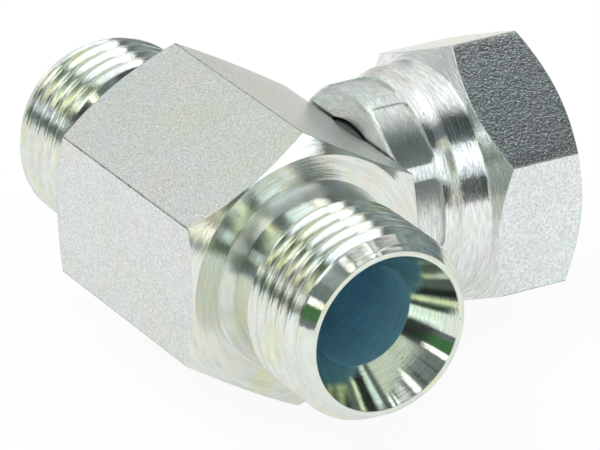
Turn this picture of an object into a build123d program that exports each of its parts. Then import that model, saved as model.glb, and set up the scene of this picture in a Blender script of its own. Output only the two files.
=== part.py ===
"""Hydraulic tee: a hexagonal bar body with two male studs on one line and a crimped swivel nut on the branch.

Origin: where the run axis (X) and the branch axis (Y) cross. The fitting lies on the lower corner of its bar and
on its nut, with both axes level. Sizes are in millimetres.
"""
import os
from math import acos, cos, degrees, radians, sin, tan

from build123d import *

# Pipe thread, half inch parallel, the same on the studs and in the nut
thread_major = 20.955
thread_depth = 1.162

# Spanner size, the same on the body and on the nut
across_flats = 27.0

# Hexagonal bar of the body
body_length = 28.6
shoulder_step = 0.2
hex_chamfer_angle = 30.0

# Male studs, with a 60 degree cone in each mouth
stud_length = 15.9
relief_land = 0.035
relief_fillet = 1.45
relief_length = 4.3
runout_angle = 45.0
lead_angle = 30.0
lead_depth = 1.43
end_rim_width = 0.55
cone_angle = 60.0
run_bore = 11.2

# Branch tail, brazed in a socket of the body
socket_wall = 1.5
braze_gap = 0.03
collar_clearance = 0.2
collar_height = 0.9
collar_land = 1.5
nose_step = 0.5
nose_wall = 0.7
branch_bore = 10.4
tail_edge_break = 0.25

# Swivel nut
nut_turn = 24.0
nut_end_gap = 0.2
swivel_clearance = 0.3
thrust_clearance = 0.2
throat_length = 4.3
skirt_length = 10.25
skirt_wall = 1.9
skirt_fillet = 0.5
nut_hex_length = 10.3
front_face_step = 0.45
nut_relief_depth = 0.27
nut_relief_length = 3.7
lead_in_width = 0.4

# Crimp: what eight jaws left on the skirt
jaw_count = 8
first_ridge_angle = 31.3
ridge_width = 1.5
crimp_squeeze = 0.73
crimp_length = 4.6
crimp_depth = 0.42
jaw_face_radius = 19.6
jaw_corner_radius = 0.8
lip_width = 0.96
lip_length = 1.2
flare_inner_radius = 2.6
flare_outer_radius = 1.2

# Shared by the pieces that meet
clear_of_corners = 1.0
hex_flat = across_flats / 2
turned_radius = hex_flat / cos(radians(30)) + clear_of_corners
body_end = body_length / 2
thread_radius = thread_major / 2
root_radius = thread_radius - thread_depth
collar_radius = root_radius - collar_clearance
neck_radius = collar_radius - collar_height
socket_floor = run_bore / 2 + socket_wall
chamfer_slope = tan(radians(hex_chamfer_angle))
half_cone = tan(radians(cone_angle / 2))

# Places on the body and its studs, along the run
shoulder_radius = hex_flat - shoulder_step
body_chamfer_start = body_end - (turned_radius - shoulder_radius) * chamfer_slope
stud_end = body_end + stud_length
relief_radius = root_radius + relief_land
hollow_top = relief_radius + relief_fillet
relief_end = body_end + relief_length
runout_end = relief_end + (thread_radius - relief_radius) / tan(radians(runout_angle))
lead_start = stud_end - lead_depth / tan(radians(lead_angle))
end_rim_radius = thread_radius - lead_depth
cone_mouth_radius = end_rim_radius - end_rim_width
cone_floor = stud_end - (cone_mouth_radius - run_bore / 2) / half_cone

with BuildPart() as tee_body:
    with BuildSketch(Plane.YZ):
        RegularPolygon(hex_flat, 6, major_radius=False, rotation=30)
    extrude(amount=body_end, both=True)

    # Both ends of the bar are turned to a 30 degree chamfer round a flat shoulder
    with BuildSketch(Plane.XY):
        Polygon(
            (-body_end, 0),
            (body_end, 0),
            (body_end, shoulder_radius),
            (body_chamfer_start, turned_radius),
            (-body_chamfer_start, turned_radius),
            (-body_end, shoulder_radius),
        )
    revolve(axis=Axis.X, mode=Mode.INTERSECT)

    # Studs: hollow corner at the shoulder, thread relief, run-out, thread land and lead chamfer
    with BuildSketch(Plane.XY):
        with BuildLine():
            Polyline((0, 0), (0, hollow_top), (body_end, hollow_top))
            RadiusArc((body_end, hollow_top), (body_end + relief_fillet, relief_radius), relief_fillet)
            Polyline(
                (body_end + relief_fillet, relief_radius),
                (relief_end, relief_radius),
                (runout_end, thread_radius),
                (lead_start, thread_radius),
                (stud_end, end_rim_radius),
                (stud_end, 0),
                (0, 0),
            )
        make_face()
        mirror(about=Plane.YZ)
    revolve(axis=Axis.X)

    # Run bore, opening to a cone at each mouth
    with BuildSketch(Plane.XY):
        Polygon(
            (-stud_end, 0),
            (stud_end, 0),
            (stud_end, cone_mouth_radius),
            (cone_floor, run_bore / 2),
            (-cone_floor, run_bore / 2),
            (-stud_end, cone_mouth_radius),
        )
    revolve(axis=Axis.X, mode=Mode.SUBTRACT)

    # Cross bore and the socket of the branch tail
    with BuildSketch(Plane.XZ):
        Circle(branch_bore / 2)
    extrude(amount=-hex_flat, mode=Mode.SUBTRACT)
    with BuildSketch(Plane.XZ.offset(-socket_floor)):
        Circle(neck_radius + braze_gap)
    extrude(amount=socket_floor - hex_flat, mode=Mode.SUBTRACT)
tee_body.part.label = "tee_body"

# Places along the branch that the tail and the nut share
nut_back = hex_flat + nut_end_gap
throat_radius = neck_radius + swivel_clearance
throat_end = nut_back + throat_length
well_radius = collar_radius + swivel_clearance
well_start = throat_end + well_radius - throat_radius
thrust_start = throat_end + thrust_clearance
collar_start = thrust_start + collar_radius - neck_radius
collar_end = collar_start + collar_land
nose_base = collar_radius - nose_step
nose_tip = branch_bore / 2 + nose_wall
nose_end = collar_end + (nose_base - nose_tip) / half_cone

# Tail: foot and neck, thrust collar that holds the nut, and the nose that seats in a 60 degree cone
with BuildPart() as branch_spigot:
    with BuildSketch(Plane.XY):
        Polygon(
            (branch_bore / 2, socket_floor),
            (neck_radius - tail_edge_break, socket_floor),
            (neck_radius, socket_floor + tail_edge_break),
            (neck_radius, thrust_start),
            (collar_radius, collar_start),
            (collar_radius, collar_end - tail_edge_break),
            (collar_radius - tail_edge_break, collar_end),
            (nose_base, collar_end),
            (nose_tip, nose_end),
            (branch_bore / 2, nose_end),
        )
    revolve(axis=Axis.Y)
branch_spigot.part.label = "branch_spigot"

# Places on the nut
hex_back = nut_back + skirt_length
hex_front = hex_back + nut_hex_length
front_face_radius = hex_flat - front_face_step
nut_front = hex_front + front_face_step * chamfer_slope
nut_relief_radius = thread_radius + nut_relief_depth
skirt_radius = nut_relief_radius + skirt_wall
skirt_end = hex_back - (hex_flat - skirt_radius) * chamfer_slope
ridge_radius = skirt_radius - crimp_squeeze
back_face_radius = ridge_radius - lip_width
crimp_end = nut_back + crimp_length
flare_turn = degrees(acos(1 - crimp_squeeze / (flare_inner_radius + flare_outer_radius)))
nut_relief_start = collar_end - swivel_clearance
nut_relief_top = nut_relief_start + nut_relief_radius - well_radius
nut_relief_end = nut_relief_start + nut_relief_length
thread_start = nut_relief_end + nut_relief_radius - root_radius
lead_in_radius = thread_radius + lead_in_width
lead_in_start = nut_front - lead_in_radius + root_radius

# Imprint of one jaw: what its slightly hollow face pushed in, with rounded corners at the end of the crimp
jaw_pitch = 360 / jaw_count
jaw_width = 2 * ridge_radius * sin(radians(jaw_pitch / 2)) - ridge_width
jaw_reach = 2.0
with BuildPart() as jaw_imprint:
    with BuildSketch(Plane.XY.offset(-crimp_end)):
        with Locations((ridge_radius, 0)):
            Rectangle(2 * jaw_reach, jaw_width)
        with Locations((ridge_radius - crimp_depth - jaw_face_radius, 0)):
            Circle(jaw_face_radius, mode=Mode.SUBTRACT)
    extrude(amount=crimp_length + jaw_reach)
    fillet(jaw_imprint.faces().sort_by(Axis.Z)[0].edges().filter_by(Axis.X), jaw_corner_radius)

with BuildPart(Plane.XZ) as swivel_nut:
    with BuildSketch(Plane.XZ.offset(-nut_back)):
        RegularPolygon(hex_flat, 6, major_radius=False, rotation=nut_turn)
    extrude(amount=nut_back - nut_front)

    # Turned outside: lip, crimped length, flare, skirt and the chamfers at both ends of the hexagon
    with BuildSketch(Plane.XY) as turned_nut:
        with BuildLine():
            Line((0, nut_back), (back_face_radius, nut_back))
            lip = EllipticalCenterArc(
                (back_face_radius, nut_back + lip_length),
                lip_width,
                lip_length,
                start_angle=270,
                arc_size=90,
            )
            crimp = Line(lip @ 1, (ridge_radius, crimp_end))
            flare_foot = JernArc(crimp @ 1, crimp % 1, flare_inner_radius, -flare_turn)
            flare_top = JernArc(flare_foot @ 1, flare_foot % 1, flare_outer_radius, flare_turn)
            Polyline(
                flare_top @ 1,
                (skirt_radius, skirt_end),
                (turned_radius, hex_back + (turned_radius - hex_flat) * chamfer_slope),
                (turned_radius, hex_front - (turned_radius - hex_flat) * chamfer_slope),
                (front_face_radius, nut_front),
                (0, nut_front),
                (0, nut_back),
            )
        make_face()
        skirt_corner = turned_nut.vertices().sort_by_distance((skirt_radius, skirt_end))[0]
        fillet(skirt_corner, skirt_fillet)
    revolve(axis=Axis.Y, mode=Mode.INTERSECT)

    # Jaw imprints between the ridges
    with PolarLocations(0, jaw_count, start_angle=first_ridge_angle + jaw_pitch / 2):
        add(jaw_imprint.part, mode=Mode.SUBTRACT)

    # Bore: throat closed behind the collar, collar well, thread relief and thread
    with BuildSketch(Plane.XY):
        Polygon(
            (0, nut_back),
            (throat_radius, nut_back),
            (throat_radius, throat_end),
            (well_radius, well_start),
            (well_radius, nut_relief_start),
            (nut_relief_radius, nut_relief_top),
            (nut_relief_radius, nut_relief_end),
            (root_radius, thread_start),
            (root_radius, lead_in_start),
            (lead_in_radius, nut_front),
            (0, nut_front),
        )
    revolve(axis=Axis.Y, mode=Mode.SUBTRACT)
swivel_nut.part.label = "swivel_nut"

os.makedirs("parts", exist_ok=True)
for piece in (tee_body, branch_spigot, swivel_nut):
    export_step(piece.part, f"parts/{piece.part.label}.step")
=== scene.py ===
"""Visual model of a zinc-plated hydraulic tee: hexagonal bar body, two male studs and a crimped swivel nut.

Lengths here are in millimetres and are turned to metres where a mesh or a pattern is made. Only the studio,
from the floor to the camera's distance, is in metres.
"""
from math import acos, cos, pi, radians, sin, sqrt, tan

import bpy
from mathutils import Matrix, Vector


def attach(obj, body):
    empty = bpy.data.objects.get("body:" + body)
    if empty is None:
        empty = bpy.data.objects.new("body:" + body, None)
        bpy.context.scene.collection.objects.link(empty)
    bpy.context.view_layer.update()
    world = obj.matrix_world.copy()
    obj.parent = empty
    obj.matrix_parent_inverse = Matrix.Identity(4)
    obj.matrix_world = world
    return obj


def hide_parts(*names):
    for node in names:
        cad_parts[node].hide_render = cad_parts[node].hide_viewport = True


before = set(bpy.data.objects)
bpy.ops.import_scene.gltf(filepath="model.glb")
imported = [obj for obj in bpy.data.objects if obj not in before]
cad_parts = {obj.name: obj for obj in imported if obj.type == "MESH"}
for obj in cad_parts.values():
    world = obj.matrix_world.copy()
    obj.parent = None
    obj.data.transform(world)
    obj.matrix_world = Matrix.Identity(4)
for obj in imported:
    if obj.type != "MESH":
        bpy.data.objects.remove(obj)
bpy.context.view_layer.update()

mm = 0.001
run = Vector((1, 0, 0))
branch = Vector((0, 1, 0))
upright = Vector((0, 0, 1))

# Hexagon of the body and of the nut, as in the solids
hex_flat = 13.5
hex_corner = hex_flat / cos(radians(30))
turned_radius = hex_corner + 1.0
slope_30 = tan(radians(30))
body_turn = 30.0
nut_turn = 24.0

# Body and studs, as in the solids: places along the run and radii
body_end = 14.3
shoulder_radius = 13.3
stud_end = 30.2
thread_radius = 10.4775
root_radius = 9.3155
relief_radius = 9.3505
relief_fillet = 1.45
relief_end = 18.6
lead_depth = 1.43
end_rim_radius = 9.0475
cone_mouth_radius = 8.4975
run_bore_radius = 5.6
branch_bore_radius = 5.2
socket_floor = 7.1
socket_radius = 8.2455
cone_floor = stud_end - (cone_mouth_radius - run_bore_radius) / slope_30
runout_end = relief_end + thread_radius - relief_radius
lead_start = stud_end - lead_depth / slope_30

# Nut, as in the solids: places along the branch and radii
nut_back = 13.7
back_face_radius = 10.9575
lip_width = 0.96
lip_length = 1.2
ridge_radius = 11.9175
crimp_end = 18.3
flare_inner_radius = 2.6
flare_outer_radius = 1.2
skirt_radius = 12.6475
skirt_end = 23.4578
skirt_fillet = 0.5
hex_back = 23.95
hex_front = 34.25
front_face_radius = 13.05
nut_front = 34.5098
throat_radius = 8.5155
throat_end = 18.0
well_radius = 9.4155
nut_relief_start = 20.3
nut_relief_radius = 10.7475
nut_relief_end = 24.0
lead_in_radius = 10.8775
lead_in_start = 32.9478

# Imprints of the crimping jaws, as in the solids. A jaw reaches past the ridges and past the nut's back.
jaw_count = 8
jaw_pitch = 360 / jaw_count
jaw_turn = 31.3 + jaw_pitch / 2
jaw_width = 2 * ridge_radius * sin(radians(jaw_pitch / 2)) - 1.5
jaw_length = 6.6
jaw_depth = 0.42
jaw_face_radius = 19.6
jaw_corner_radius = 0.8
jaw_reach = 2.0

# Pipe thread: 14 threads an inch, flanks about 55 degrees apart, a narrow flat crest and small roundings.
# A rounding turns 62.5 degrees to meet the flank, and the crest's starts 15 degrees from flat.
pitch = 25.4 / 14
flank_turn = 62.5
crest_turn = 15.0
root_rounding = 0.07
crest_rounding = 0.05
crest_flat = 0.2
stud_groove_start = 19.9 - pitch / 2
stud_groove_phase = 48.0
stud_groove_turns = 7.2
nut_groove_start = nut_relief_end + 0.6
nut_groove_phase = 0.0
nut_groove_turns = 6.2

# How far a cutter stands out of what it cuts
overrun = 1.0
groove_overrun = 0.4

# How finely round things are divided
round_steps = 192
thread_steps = 120
jaw_face_steps = 360
arc_steps = 8
skirt_corner_steps = 6
jaw_corner_steps = 8

# Radius of the bars' long edges, which is in their meshes, and of all edges in the shading
edge_radius = 0.18
edge_steps = 4
edge_break = 0.18
smooth_limit = radians(24)

# Two unit directions are parallel when one goes at least this far along the other
parallel = 0.99


def spread(first, last, steps):
    """Evenly spaced angles in radians from first to last, both given in degrees."""
    return [radians(first + (last - first) * i / steps) for i in range(steps + 1)]


def loop(name, corners):
    """Closed loop of edges through the corners, made from a circle."""
    bpy.ops.object.select_all(action="DESELECT")
    bpy.ops.mesh.primitive_circle_add(vertices=len(corners))
    piece = bpy.context.object
    piece.name = name
    for vertex, corner in zip(piece.data.vertices, corners):
        vertex.co = corner * mm
    return piece


def clean_closed(piece):
    """Merges what meets, drops loose edges and turns all faces outwards."""
    bpy.context.view_layer.objects.active = piece
    bpy.ops.object.mode_set(mode="EDIT")
    bpy.ops.mesh.select_all(action="SELECT")
    bpy.ops.mesh.remove_doubles(threshold=1e-6)
    bpy.ops.mesh.delete_loose(use_verts=True, use_edges=True, use_faces=False)
    bpy.ops.mesh.select_all(action="SELECT")
    bpy.ops.mesh.normals_make_consistent(inside=False)
    bpy.ops.object.mode_set(mode="OBJECT")


def turned(name, outline, axis, steps=round_steps):
    """Solid turned about the run or the branch from an outline of (place along the axis, radius)."""
    piece = loop(name, [axis * place + upright * radius for place, radius in outline])
    bpy.ops.object.mode_set(mode="EDIT")
    bpy.ops.mesh.select_all(action="SELECT")
    bpy.ops.mesh.spin(steps=steps, angle=2 * pi, center=(0, 0, 0), axis=axis, use_auto_merge=True)
    bpy.ops.object.mode_set(mode="OBJECT")
    clean_closed(piece)
    return piece


def hexagon_bar(name, start, end, axis, side, turn):
    """Hexagonal bar along the axis, its long edges rounded; side is the direction the turn is counted from."""
    corners = []
    for i in range(6):
        angle = radians(turn + 60 * i)
        corners.append(axis * start + (side * cos(angle) + upright * sin(angle)) * hex_corner)
    piece = loop(name, corners)
    bpy.ops.object.mode_set(mode="EDIT")
    bpy.ops.mesh.select_all(action="SELECT")
    bpy.ops.mesh.edge_face_add()
    bpy.ops.mesh.extrude_region_move(TRANSFORM_OT_translate={"value": axis * (end - start) * mm})
    bpy.ops.mesh.select_all(action="DESELECT")
    bpy.ops.object.mode_set(mode="OBJECT")
    for edge in piece.data.edges:
        first, last = (piece.data.vertices[i].co for i in edge.vertices)
        edge.select = abs((last - first).normalized().dot(axis)) > parallel
    bpy.ops.object.mode_set(mode="EDIT")
    bpy.ops.mesh.select_mode(type="EDGE")
    bpy.ops.mesh.bevel(offset=edge_radius * slope_30 * mm, segments=edge_steps, affect="EDGES")
    bpy.ops.mesh.select_mode(type="VERT")
    bpy.ops.object.mode_set(mode="OBJECT")
    clean_closed(piece)
    return piece


def thread_groove(name, axis, start, turns, root, outwards, phase):
    """Helical groove of the thread as a cutter. It is open outwards on a stud and inwards in the nut."""
    open_side = 1 if outwards else -1
    depth = thread_radius - root_radius
    half = [
        (root_rounding * sin(t), root_rounding * (1 - cos(t)))
        for t in spread(0, flank_turn, 4)
    ]
    crest_corner = pitch / 2 - crest_flat
    half += [
        (crest_corner - crest_rounding * sin(t), depth - crest_rounding * (1 - cos(t)))
        for t in spread(flank_turn, crest_turn, 3)
    ]
    half.append((half[-1][0], depth + groove_overrun))
    section = [(-along, height) for along, height in reversed(half[1:])] + half
    side = Matrix.Rotation(radians(phase), 3, axis) @ upright
    corners = [axis * (start + along) + side * (root + open_side * height) for along, height in section]
    piece = loop(name, corners)
    screw = piece.modifiers.new("screw", "SCREW")
    screw.axis = "X" if axis == run else "Y"
    screw.angle = 2 * pi * turns
    screw.screw_offset = pitch * turns * mm
    screw.steps = int(thread_steps * turns)
    screw.render_steps = screw.steps
    screw.use_merge_vertices = False
    bpy.ops.object.modifier_apply(modifier=screw.name)
    bpy.ops.object.mode_set(mode="EDIT")
    bpy.ops.mesh.select_all(action="SELECT")
    bpy.ops.mesh.fill_holes(sides=0)
    bpy.ops.object.mode_set(mode="OBJECT")
    clean_closed(piece)
    return piece


def combine(piece, tool, how):
    """Joins, cuts or intersects a piece with a tool, and uses the tool up."""
    bpy.ops.object.select_all(action="DESELECT")
    bpy.context.view_layer.objects.active = piece
    boolean = piece.modifiers.new("boolean", "BOOLEAN")
    boolean.operation = how
    boolean.solver = "MANIFOLD"
    boolean.object = tool
    bpy.ops.object.modifier_apply(modifier=boolean.name)
    bpy.data.objects.remove(tool)


def turned_copy(piece, turn, axis):
    """The same piece turned about an axis, in radians, with a mesh of its own."""
    other = piece.copy()
    other.data = piece.data.copy()
    other.data.transform(Matrix.Rotation(turn, 4, axis))
    bpy.context.collection.objects.link(other)
    return other


# Tee body: bar with turned ends, studs, bores, thread
tee = hexagon_bar("tee_body_threaded", -body_end, body_end, run, branch, body_turn)
chamfer_start = body_end - (turned_radius - shoulder_radius) * slope_30
bar_ends = turned(
    "bar_ends",
    [
        (-body_end, 0),
        (body_end, 0),
        (body_end, shoulder_radius),
        (chamfer_start, turned_radius),
        (-chamfer_start, turned_radius),
        (-body_end, shoulder_radius),
    ],
    run,
)
combine(tee, bar_ends, "INTERSECT")

hollow = [
    (body_end + relief_fillet * (1 - cos(t)), relief_radius + relief_fillet * (1 - sin(t)))
    for t in spread(0, 90, arc_steps)
]
near_stud = turned(
    "near_stud",
    [
        (0, 0),
        (0, relief_radius + relief_fillet),
        *hollow,
        (relief_end, relief_radius),
        (runout_end, thread_radius),
        (lead_start, thread_radius),
        (stud_end, end_rim_radius),
        (stud_end, 0),
    ],
    run,
)
stud_groove = thread_groove(
    "stud_groove", run, stud_groove_start, stud_groove_turns, root_radius, True, stud_groove_phase
)
combine(near_stud, stud_groove, "DIFFERENCE")
far_stud = turned_copy(near_stud, pi, "Z")
combine(tee, near_stud, "UNION")
combine(tee, far_stud, "UNION")

run_passage = turned(
    "run_passage",
    [
        (-stud_end - overrun, 0),
        (stud_end + overrun, 0),
        (stud_end + overrun, cone_mouth_radius + overrun * slope_30),
        (cone_floor, run_bore_radius),
        (-cone_floor, run_bore_radius),
        (-stud_end - overrun, cone_mouth_radius + overrun * slope_30),
    ],
    run,
)
combine(tee, run_passage, "DIFFERENCE")
branch_socket = turned(
    "branch_socket",
    [
        (0, 0),
        (hex_flat + overrun, 0),
        (hex_flat + overrun, socket_radius),
        (socket_floor, socket_radius),
        (socket_floor, branch_bore_radius),
        (0, branch_bore_radius),
    ],
    branch,
)
combine(tee, branch_socket, "DIFFERENCE")

# Swivel nut: bar, turned outside, jaw imprints, bore, thread
nut = hexagon_bar("swivel_nut_threaded", nut_back, nut_front, branch, run, nut_turn)
lip = [
    (nut_back + lip_length * (1 + sin(t)), back_face_radius + lip_width * cos(t))
    for t in spread(-90, 0, arc_steps)
]
flare_turn = acos(1 - (skirt_radius - ridge_radius) / (flare_inner_radius + flare_outer_radius))
flare_arc = [flare_turn * i / arc_steps for i in range(arc_steps + 1)]
flare_end = crimp_end + (flare_inner_radius + flare_outer_radius) * sin(flare_turn)
flare = [
    (crimp_end + flare_inner_radius * sin(t), ridge_radius + flare_inner_radius * (1 - cos(t)))
    for t in flare_arc
]
flare += [
    (flare_end - flare_outer_radius * sin(t), skirt_radius - flare_outer_radius * (1 - cos(t)))
    for t in reversed(flare_arc[:-1])
]
skirt_corner = [
    (skirt_end + skirt_fillet * (sin(t) - slope_30), skirt_radius + skirt_fillet * (1 - cos(t)))
    for t in spread(0, 60, skirt_corner_steps)
]
nut_outside = turned(
    "nut_outside",
    [
        (nut_back, 0),
        *lip,
        *flare,
        *skirt_corner,
        (hex_back + (turned_radius - hex_flat) * slope_30, turned_radius),
        (hex_front - (turned_radius - hex_flat) * slope_30, turned_radius),
        (nut_front, front_face_radius),
        (nut_front, 0),
    ],
    branch,
)
combine(nut, nut_outside, "INTERSECT")

# One jaw's imprint, its two inner corners rounded and its face slightly hollow, set eight times round the skirt
bpy.ops.object.select_all(action="DESELECT")
bpy.ops.mesh.primitive_cube_add(size=1)
imprint = bpy.context.object
imprint_back = crimp_end - jaw_length
imprint.data.transform(Matrix.Diagonal((2 * jaw_reach * mm, jaw_length * mm, jaw_width * mm, 1)))
imprint.data.transform(Matrix.Translation((ridge_radius * mm, (imprint_back + jaw_length / 2) * mm, 0)))
bpy.ops.object.mode_set(mode="EDIT")
bpy.ops.mesh.select_mode(type="EDGE")
bpy.ops.mesh.select_all(action="DESELECT")
bpy.ops.object.mode_set(mode="OBJECT")
for edge in imprint.data.edges:
    first, last = (imprint.data.vertices[i].co for i in edge.vertices)
    at_crimp_end = (first.y + last.y) / 2 > (crimp_end - jaw_reach) * mm
    edge.select = at_crimp_end and abs((last - first).normalized().x) > parallel
bpy.ops.object.mode_set(mode="EDIT")
bpy.ops.mesh.bevel(offset=jaw_corner_radius * mm, segments=jaw_corner_steps, affect="EDGES")
bpy.ops.mesh.select_mode(type="VERT")
bpy.ops.object.mode_set(mode="OBJECT")
jaw_face = turned(
    "jaw_face",
    [
        (imprint_back - overrun, 0),
        (crimp_end + overrun, 0),
        (crimp_end + overrun, jaw_face_radius),
        (imprint_back - overrun, jaw_face_radius),
    ],
    branch,
    jaw_face_steps,
)
jaw_face.data.transform(Matrix.Translation(((ridge_radius - jaw_depth - jaw_face_radius) * mm, 0, 0)))
combine(imprint, jaw_face, "DIFFERENCE")
for i in range(jaw_count):
    combine(nut, turned_copy(imprint, -radians(jaw_turn + jaw_pitch * i), "Y"), "DIFFERENCE")
bpy.data.objects.remove(imprint)

nut_bore = turned(
    "nut_bore",
    [
        (nut_back - overrun, 0),
        (nut_front + overrun, 0),
        (nut_front + overrun, lead_in_radius + overrun),
        (lead_in_start, root_radius),
        (nut_relief_end + nut_relief_radius - root_radius, root_radius),
        (nut_relief_end, nut_relief_radius),
        (nut_relief_start + nut_relief_radius - well_radius, nut_relief_radius),
        (nut_relief_start, well_radius),
        (throat_end + well_radius - throat_radius, well_radius),
        (throat_end, throat_radius),
        (nut_back - overrun, throat_radius),
    ],
    branch,
)
combine(nut, nut_bore, "DIFFERENCE")
nut_groove = thread_groove(
    "nut_groove", branch, nut_groove_start, nut_groove_turns, thread_radius, False, nut_groove_phase
)
combine(nut, nut_groove, "DIFFERENCE")


# Materials
def linear(colour):
    """Linear colour of an sRGB hex value."""
    channels = [int(colour[i : i + 2], 16) / 255 for i in (1, 3, 5)]
    return [c / 12.92 if c <= 0.04045 else ((c + 0.055) / 1.055) ** 2.4 for c in channels] + [1]


def add(tree, kind, inputs=None, **settings):
    """Adds a node with its settings. inputs gives each socket its value, or the node or socket to link from."""
    node = tree.nodes.new("ShaderNode" + kind)
    for setting, value in settings.items():
        setattr(node, setting, value)
    for socket, value in (inputs or {}).items():
        if isinstance(value, bpy.types.Node):
            value = value.outputs[0]
        if isinstance(value, bpy.types.NodeSocket):
            tree.links.new(value, node.inputs[socket])
        else:
            node.inputs[socket].default_value = value
    return node


# Where in the range of the cloudy noise the first tint gives way to the second, and the second to the third
second_tint_from = 0.3
second_tint_full = 0.52
third_tint_from = 0.5
third_tint_full = 0.7

# The noise of grain and tool lines, which could go from 0 to 1, keeps to this part of it
relief_low = 0.3
relief_high = 0.7

# Pits in the plate: rare dark specks of a tenth or two of a millimetre, where a coarser noise peaks
pit_spacing = 0.5
pit_edge = 0.77
pit_middle = 0.8
pit_shade = 0.5

# Anisotropic rotation, in turns, that lays the highlight across the tool lines
across_the_lines = 0.25


def zinc_plate(
    name,
    tints,
    patch,
    roughness,
    axis,
    shade,
    height,
    grain=0.2,
    grain_share=1.0,
    line=0.3,
    line_share=0.0,
    streak=1,
    pull=0.0,
    metallic=1.0,
):
    """Zinc plate over a given steel surface.

    tints are three colours of the passivated film and patch is the width of its cloudy patches. roughness is
    its least, on what stands up, and its most, in the hollows. grain is the width of the steel's grain, line
    the spacing of the tool's lines round the axis, and the shares say how strongly each shows. streak says how
    often a line changes on its way round. shade is painted shade: how much lighter the colour is on the relief's
    tops than in its hollows. height is how deep the relief is. pull is how far lines too fine to draw stretch a
    reflection along the axis.
    """
    material = bpy.data.materials.new(name)
    material.use_nodes = True
    tree = material.node_tree
    tree.nodes.clear()
    place = add(tree, "TexCoord").outputs["Object"]

    # Film: its three tints in cloudy patches
    patch_scale = 1 / (patch * mm)
    clouds = add(tree, "TexNoise", {"Vector": place, "Scale": patch_scale, "Detail": 3.0, "Roughness": 0.55})
    second = add(tree, "MapRange", {"Value": clouds, "From Min": second_tint_from, "From Max": second_tint_full})
    third = add(tree, "MapRange", {"Value": clouds, "From Min": third_tint_from, "From Max": third_tint_full})
    film = add(tree, "Mix", {0: second, 6: linear(tints[0]), 7: linear(tints[1])}, data_type="RGBA")
    film = add(tree, "Mix", {0: third, 6: film.outputs[2], 7: linear(tints[2])}, data_type="RGBA")

    # Relief: the steel's grain, and lines that follow the tool round the axis
    grain_scale = 1 / (grain * mm)
    grains = add(tree, "TexNoise", {"Vector": place, "Scale": grain_scale, "Detail": 2.0, "Roughness": 0.9})
    off_axis = add(tree, "VectorMath", {0: place, 1: Vector((1, 1, 1)) - axis}, operation="MULTIPLY")
    radius = add(tree, "VectorMath", {0: off_axis}, operation="LENGTH").outputs["Value"]
    along = add(tree, "VectorMath", {0: place, 1: axis}, operation="DOT_PRODUCT").outputs["Value"]
    around = add(tree, "VectorMath", {0: off_axis}, operation="NORMALIZE")
    streaks = add(tree, "VectorMath", {0: around, "Scale": streak}, operation="SCALE")
    travel = add(tree, "Math", {0: along, 1: radius}, operation="ADD")
    travel = add(tree, "Math", {0: travel, 1: 1 / (line * mm)}, operation="MULTIPLY")
    lines = add(
        tree,
        "TexNoise",
        {"Vector": streaks, "W": travel, "Scale": 1.0, "Detail": 3.0, "Roughness": 0.7},
        noise_dimensions="4D",
    )
    relief = add(tree, "Math", {0: grains, 1: grain_share}, operation="MULTIPLY")
    relief = add(tree, "Math", {0: lines, 1: line_share, 2: relief}, operation="MULTIPLY_ADD")
    total = grain_share + line_share
    relief_range = {"Value": relief, "From Min": relief_low * total, "From Max": relief_high * total}

    # Colour: the film, with painted shade that darkens the relief's hollows and lightens its tops, and darker in
    # a few pits
    shading = add(tree, "MapRange", {**relief_range, "To Min": 1 - shade / 2, "To Max": 1 + shade / 2})
    pit_scale = 1 / (pit_spacing * mm)
    pits = add(tree, "TexNoise", {"Vector": place, "Scale": pit_scale, "Detail": 1.0, "Roughness": 0.5})
    pits = add(
        tree,
        "MapRange",
        {"Value": pits, "From Min": pit_edge, "From Max": pit_middle, "To Min": 1.0, "To Max": pit_shade},
    )
    shading = add(tree, "Math", {0: shading, 1: pits}, operation="MULTIPLY")
    colour = add(tree, "Mix", {0: 1.0, 6: film.outputs[2], 7: shading}, data_type="RGBA", blend_type="MULTIPLY")

    # Gloss and bump from the same relief, over edges that are a little rounded
    gloss = add(tree, "MapRange", {**relief_range, "To Min": roughness[1], "To Max": roughness[0]})
    soft_edge = add(tree, "Bevel", {"Radius": edge_break * mm}, samples=4)
    bump = add(tree, "Bump", {"Height": relief, "Normal": soft_edge, "Strength": 1.0, "Distance": height * mm})
    shader = add(
        tree,
        "BsdfPrincipled",
        {"Base Color": colour.outputs[2], "Metallic": metallic, "Roughness": gloss, "Normal": bump},
    )
    if pull:
        lay = add(tree, "VectorMath", {0: axis, 1: off_axis}, operation="CROSS_PRODUCT")
        lay = add(
            tree,
            "VectorTransform",
            {0: lay},
            vector_type="VECTOR",
            convert_from="OBJECT",
            convert_to="WORLD",
        )
        tree.links.new(lay.outputs[0], shader.inputs["Tangent"])
        shader.inputs["Anisotropic"].default_value = pull
        shader.inputs["Anisotropic Rotation"].default_value = across_the_lines
    add(tree, "OutputMaterial", {"Surface": shader})
    return material


# All finishes are steel under bright zinc with a passivated film. The real grain is under a tenth of a
# millimetre wide and the real tool lines are about a tenth apart. Both are drawn coarser, at 0.15 to 0.35 mm,
# or they would not show in the render.

# Cold-drawn hexagon bar: the die leaves an even grain, so a flat is satin and sparkles a little. The nut's
# flats are the glossier and show the grain more.
drawn_body = zinc_plate(
    "zinc_on_drawn_bar",
    tints=("#dcddd4", "#d9e0e0", "#e0dcd8"),
    patch=9,
    roughness=(0.2, 0.34),
    axis=run,
    shade=0.5,
    height=0.052,
    grain=0.2,
)
drawn_nut = zinc_plate(
    "zinc_on_drawn_nut",
    tints=("#dbe3e3", "#e0e7e7", "#dde0df"),
    patch=9,
    roughness=(0.1, 0.22),
    axis=branch,
    shade=0.5,
    height=0.05,
    grain=0.32,
)
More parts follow.
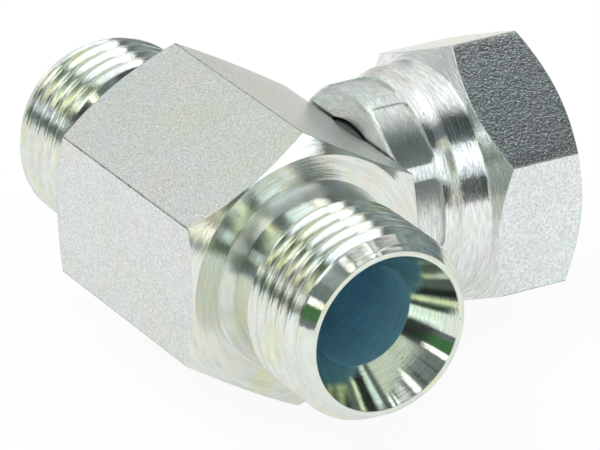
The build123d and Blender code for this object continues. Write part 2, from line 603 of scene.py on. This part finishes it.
# Turned stud and shoulder: lines round the run that stretch what they mirror along it, under a film that is
# yellow and green in patches
turned_body = zinc_plate(
    "zinc_on_turned_stud",
    tints=("#dfe1c4", "#dde5e0", "#e3dfd1"),
    patch=4,
    roughness=(0.09, 0.16),
    axis=run,
    shade=0.26,
    height=0.022,
    grain_share=0.15,
    line=0.35,
    line_share=1.0,
    streak=3,
    pull=1.0,
)
# Hollow corner by the shoulder, turned with the tool's round nose: rougher, so its reflections are soft bands
corner = zinc_plate(
    "zinc_on_turned_corner",
    tints=("#dfe1c4", "#dde5e0", "#e3dfd1"),
    patch=4,
    roughness=(0.3, 0.38),
    axis=run,
    shade=0.3,
    height=0.03,
    grain_share=0.15,
    line=0.35,
    line_share=1.0,
    streak=3,
    pull=1.0,
)
# Cone that seals, finely turned: the smoothest face, with narrow light and dark rays
seat = zinc_plate(
    "zinc_on_turned_seat",
    tints=("#d4dcc8", "#dae2d8", "#dadccc"),
    patch=5,
    roughness=(0.05, 0.1),
    axis=run,
    shade=0.3,
    height=0.009,
    grain=0.3,
    grain_share=0.1,
    line_share=1.0,
    streak=3,
    pull=0.6,
)
# Turned skirt and mouth of the nut: deeper lines that break the dark bands into streaks
turned_nut = zinc_plate(
    "zinc_on_turned_skirt",
    tints=("#e3e8e0", "#eaedec", "#e9e8e3"),
    patch=6,
    roughness=(0.08, 0.22),
    axis=branch,
    shade=0.55,
    height=0.05,
    grain=0.15,
    grain_share=0.08,
    line=0.17,
    line_share=1.0,
    streak=7,
    pull=1.0,
)
# Crimped length, pressed by the jaws: the plate is rubbed matt and scored along the circumference
crimped = zinc_plate(
    "zinc_rubbed_by_jaws",
    tints=("#dce6dc", "#e4eae8", "#e1e4dc"),
    patch=4,
    roughness=(0.22, 0.4),
    axis=branch,
    shade=0.9,
    height=0.04,
    grain=0.22,
    grain_share=0.3,
    line=0.18,
    line_share=1.0,
    streak=7,
    pull=0.95,
)
# Long edges of the bars: a broken dull brown-grey line of painted shade, standing in for the dark
# that a rounded edge mirrors
painted_dark_edge = zinc_plate(
    "painted_dark_edge_line",
    tints=("#85836f", "#babbb4", "#77786f"),
    patch=1.2,
    roughness=(0.3, 0.5),
    axis=run,
    shade=0.3,
    height=0.01,
    grain=0.3,
)
# Turned tail hidden in the nut: dull, and painted dark for the shade of the narrow gap it shows through
tail = zinc_plate(
    "tail_in_painted_shade",
    tints=("#59625c", "#666f6b", "#5f625c"),
    patch=4,
    roughness=(0.35, 0.5),
    axis=branch,
    shade=0.4,
    height=0.01,
    grain=0.25,
    grain_share=0.4,
    line=0.15,
    line_share=0.9,
    streak=4,
)
# Drilled bore, where the plate is thin under a bluish film: half metal and half film to the eye, so it is dull
bored = zinc_plate(
    "thin_zinc_in_bore",
    tints=("#86bdd2", "#9bd2e4", "#97c2d0"),
    patch=8,
    roughness=(0.3, 0.45),
    axis=run,
    shade=0.4,
    height=0.01,
    grain_share=0.4,
    line=0.35,
    line_share=1.0,
    streak=2,
    metallic=0.5,
)

# Which face gets which finish: a place counts within the slack, a bar's flats and rounded edges lie within
# flat_depth of its width, and the branch's bore and socket lie within socket_reach of the middle
slack = 0.01
flat_depth = 0.1
socket_reach = 9.0
square_to_axis = 0.02
faces_as_flat = 0.9999


def flat_directions(side, turn):
    """The six directions that a bar's flats face."""
    angles = [radians(turn + 30 + 60 * i) for i in range(6)]
    return [side * cos(angle) + upright * sin(angle) for angle in angles]


body_flats = flat_directions(branch, body_turn)
nut_flats = flat_directions(run, nut_turn)


def furthest(vector, directions):
    """How far a vector goes in that of the directions in which it goes furthest."""
    return max(vector.dot(direction) for direction in directions)


def bar_finish(corners, normal, flats, drawn):
    """Finish of a face in one of a bar's flats or on a rounded edge between two. Other faces have none."""
    if min(furthest(c, flats) for c in corners) < (hex_flat - flat_depth) * mm:
        return None
    # A face on a rounded edge gets the painted dark edge line
    return drawn if furthest(normal, flats) > faces_as_flat else painted_dark_edge


def tee_finish(corners, normal):
    """Which finish a face of the tee has."""
    bar = bar_finish(corners, normal, body_flats, drawn_body)
    if bar and abs(normal.x) < square_to_axis:
        return bar
    places = [abs(c.x) / mm for c in corners]
    reach = max(sqrt(c.y**2 + c.z**2) for c in corners) / mm
    if reach < run_bore_radius + slack:
        return bored
    if min(places) > cone_floor - slack and reach < cone_mouth_radius + slack:
        return seat
    in_corner = body_end - slack < min(places) and max(places) < body_end + relief_fillet + slack
    if in_corner and abs(normal.x) < parallel:
        return corner
    heights = [c.y / mm for c in corners]
    in_socket = max(places) < socket_reach and min(heights) > 0
    if in_socket and sum(heights) / len(heights) < hex_flat - flat_depth:
        return bored
    return turned_body


def nut_finish(corners, normal):
    """Which finish a face of the nut has."""
    place = max(c.y for c in corners) / mm
    reach = min(sqrt(c.x**2 + c.z**2) for c in corners) / mm
    bar = bar_finish(corners, normal, nut_flats, drawn_nut)
    if bar and abs(normal.y) < square_to_axis and place > skirt_end:
        return bar
    if nut_back + slack < place < crimp_end + slack and reach > throat_radius + slack:
        return crimped
    return turned_nut


def finish(piece, materials, choose, body, node):
    """Gives each face its finish, smooths what is round and hands the piece to its body."""
    bpy.ops.object.select_all(action="DESELECT")
    bpy.context.view_layer.objects.active = piece
    piece.select_set(True)
    piece.data.materials.clear()
    for material in materials:
        piece.data.materials.append(material)
    for face in piece.data.polygons:
        corners = [piece.data.vertices[i].co for i in face.vertices]
        face.material_index = materials.index(choose(corners, face.normal))
    bpy.ops.object.shade_smooth_by_angle(angle=smooth_limit)
    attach(piece, body)
    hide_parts(node)


finish(tee, [drawn_body, turned_body, corner, seat, bored, painted_dark_edge], tee_finish, "tee", "tee_body")
finish(nut, [drawn_nut, turned_nut, crimped, painted_dark_edge], nut_finish, "nut", "swivel_nut")
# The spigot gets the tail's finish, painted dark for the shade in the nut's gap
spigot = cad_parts["branch_spigot"]
spigot.data.materials.clear()
spigot.data.materials.append(tail)

# Studio: white floor and surroundings, cards that only the metal mirrors, one soft lamp
scene = bpy.context.scene
scene.view_settings.view_transform = "Standard"
floor_level = -hex_corner
floor_radius = 0.7
camera_glow = 0.9
mirrored_glow = 0.6
surrounding_light = 0.9

world = bpy.data.worlds.new("white_studio")
scene.world = world
world.use_nodes = True
tree = world.node_tree
tree.nodes.clear()
ray = add(tree, "LightPath")
seen = ray.outputs["Is Camera Ray"]
for kind in ("Is Glossy Ray", "Is Transmission Ray"):
    seen = add(tree, "Math", {0: seen, 1: ray.outputs[kind]}, operation="MAXIMUM")
soft_light = add(tree, "Background", {"Color": linear("#ffffff"), "Strength": surrounding_light})
white = add(tree, "Background", {"Color": linear("#ffffff"), "Strength": 1.0})
add(tree, "OutputWorld", {"Surface": add(tree, "MixShader", {0: seen, 1: soft_light, 2: white})})

# White paper, matt so that it keeps the shadow: nearly all glow to the camera, and less of it in the metal
bpy.ops.object.select_all(action="DESELECT")
bpy.ops.mesh.primitive_circle_add(
    vertices=96, radius=floor_radius, fill_type="NGON", location=(0, 0, floor_level * mm)
)
floor = bpy.context.object
floor.name = "floor"
paper = bpy.data.materials.new("white_paper")
paper.use_nodes = True
tree = paper.node_tree
tree.nodes.clear()
ray = add(tree, "LightPath")
seen = add(tree, "Math", {0: ray.outputs["Is Camera Ray"], 1: camera_glow}, operation="MULTIPLY")
seen = add(tree, "Math", {0: ray.outputs["Is Glossy Ray"], 1: mirrored_glow, 2: seen}, operation="MULTIPLY_ADD")
matt = add(tree, "BsdfDiffuse", {"Color": linear("#fdfdfd")})
white = add(tree, "Emission", {"Color": linear("#ffffff"), "Strength": 1.0})
add(tree, "OutputMaterial", {"Surface": add(tree, "MixShader", {0: seen, 1: matt, 2: white})})
floor.data.materials.append(paper)

# What the metal mirrors: a dim slate room with darker clutter, soft boxes in front and above, green leaves and
# grass in the gaps, and a straw sheet close behind the body
neutral = "#ffffff"
slate = "#b9c7ca"
sky = "#eef6fd"
warm = "#fff6e4"
straw = "#f8ecca"
leafy = "#eef2cf"
sunny = "#e2ead0"
leaf = "#7fae83"
grass = "#68a86e"

# The clutter is patches about 90 mm wide, which only the slate cards show
clutter_scale = 11.0
clutter_from = 0.42
clutter_to = 0.47
clutter_dark = 0.3

# A card's mesh is about this many degrees a step, so that it follows the sphere
card_step = 4
card_rows = 8

# Each card: azimuth from +X towards +Y and elevation, both from and to in degrees, distance in metres,
# brightness and colour
cards = {
    "horizon_right": (-4, 44, -3.5, 20, 0.25, 0.12, slate),
    "horizon_side": (44, 62, -1.5, 30, 1.27, 0.8, slate),
    "horizon_far": (62, 132, -1.5, 14, 1.27, 0.6, slate),
    "horizon_back": (132, 149, 2, 22, 1.3, 0.55, slate),
    "horizon_corner": (149, 208, 1, 12, 1.3, 0.75, slate),
    "horizon_left": (-152, -120, -3, 7, 1.3, 0.3, slate),
    "horizon_front": (-120, 20, -1.5, 14, 1.27, 0.42, slate),
    "room_front": (-139, 88, 13, 88, 1.3, 0.45, slate),
    "room_far": (86, 128, 13, 47, 1.3, 0.75, slate),
    "wall_behind": (-190, -140, 22, 62, 1.28, 0.87, neutral),
    "hedge_behind": (158, 186, 30, 44, 1.27, 0.9, sunny),
    "gap_behind": (-168, -158, 26, 42, 1.25, 0.38, leaf),
    "gap_left": (-152, -145, 15, 29, 1.25, 0.3, leaf),
    "dark_top": (-180, 180, 80, 90, 1.26, 1.0, neutral),
    "dark_skirt": (44, 91, 48, 74, 1.25, 0.16, slate),
    "dark_flare": (-4, 44, 52, 78, 1.25, 0.07, slate),
    "green_left": (-94, -70, 6, 20, 1.22, 0.5, grass),
    "gap_front": (-14, -5, 12, 50, 1.25, 0.2, leaf),
    "box_right": (28, 42, 27, 44, 1.2, 2.4, neutral),
    "box_front": (9, 27, 20, 50, 1.2, 2.0, sky),
    "box_middle": (-4, 9, 17, 52, 1.2, 1.7, sky),
    "box_low_front": (-30, -18, 13, 40, 1.2, 1.5, leafy),
    "box_left_front": (-38, -32, 8, 18, 1.2, 3.4, sky),
    "box_floor_front": (-22, -12, -1, 7, 1.2, 2.6, warm),
    "box_cone": (-43, -35, 43, 54, 1.2, 4.5, leafy),
    "gap_cone": (-50, -34, 19, 40, 1.22, 0.05, slate),
    "box_high": (97, 135, 50, 64, 1.2, 1.4, neutral),
    "box_zenith": (60, 105, 76, 83, 1.2, 2.6, neutral),
    "box_far": (150, 158, 27, 36, 1.2, 2.0, sky),
    "box_back": (-157, -152, 27, 36, 1.2, 1.6, warm),
    "box_low": (-147, -138, 8, 14, 1.2, 1.6, neutral),
    "box_top": (-70, -44, 68, 77, 1.2, 1.9, neutral),
    "box_side": (-84, -76, 21, 28, 1.2, 2.8, neutral),
    "glint": (64, 78, 69, 73, 1.2, 2.2, neutral),
    "sheen_behind": (120, 162, -6.3, -1.5, 0.14, 0.95, straw),
}
for name, (az_0, az_1, el_0, el_1, distance, brightness, colour) in cards.items():
    bpy.ops.object.select_all(action="DESELECT")
    columns = max(2, round(abs(az_1 - az_0) / card_step))
    bpy.ops.mesh.primitive_grid_add(x_subdivisions=columns, y_subdivisions=card_rows, size=1)
    card = bpy.context.object
    card.name = name
    for vertex in card.data.vertices:
        az = radians(az_0 + (az_1 - az_0) * (vertex.co.x + 0.5))
        el = radians(el_0 + (el_1 - el_0) * (vertex.co.y + 0.5))
        vertex.co = Vector((cos(el) * cos(az), cos(el) * sin(az), sin(el))) * distance
    surface = bpy.data.materials.new(name)
    surface.use_nodes = True
    tree = surface.node_tree
    tree.nodes.clear()
    place = add(tree, "TexCoord").outputs["Object"]
    clutter = add(tree, "TexNoise", {"Vector": place, "Scale": clutter_scale, "Detail": 2.0, "Roughness": 0.6})
    darkest = brightness * clutter_dark if colour == slate else brightness
    level = add(
        tree,
        "MapRange",
        {
            "Value": clutter,
            "From Min": clutter_from,
            "From Max": clutter_to,
            "To Min": darkest,
            "To Max": brightness,
        },
    )
    glow = add(tree, "Emission", {"Color": linear(colour), "Strength": level})
    add(tree, "OutputMaterial", {"Surface": glow})
    card.data.materials.append(surface)
    card.visible_camera = False
    card.visible_diffuse = False
    card.visible_transmission = False
    card.visible_shadow = False

bpy.ops.object.light_add(type="AREA", location=(-0.2, -0.5, 0.7))
lamp = bpy.context.object
lamp.data.shape = "DISK"
lamp.data.size = 0.5
lamp.data.energy = 1.6
lamp.rotation_euler = (-lamp.location).to_track_quat("-Z", "Y").to_euler()

# Camera at the photograph's viewing angle
view_azimuth = radians(58.64)
view_elevation = radians(25.16)
view_roll = radians(0.83)
aim = Vector((3.483, 5.654, -0.068)) * mm
view_distance = 0.70012
bpy.ops.object.camera_add()
camera = bpy.context.object
turn = (
    Matrix.Rotation(view_azimuth, 4, "Z")
    @ Matrix.Rotation(pi / 2 - view_elevation, 4, "X")
    @ Matrix.Rotation(view_roll, 4, "Z")
)
camera.matrix_world = Matrix.Translation(aim + turn.to_3x3() @ Vector((0, 0, view_distance))) @ turn
camera.data.lens = 402.5
camera.data.sensor_width = 36.0
camera.data.clip_start = 0.01
scene.camera = camera
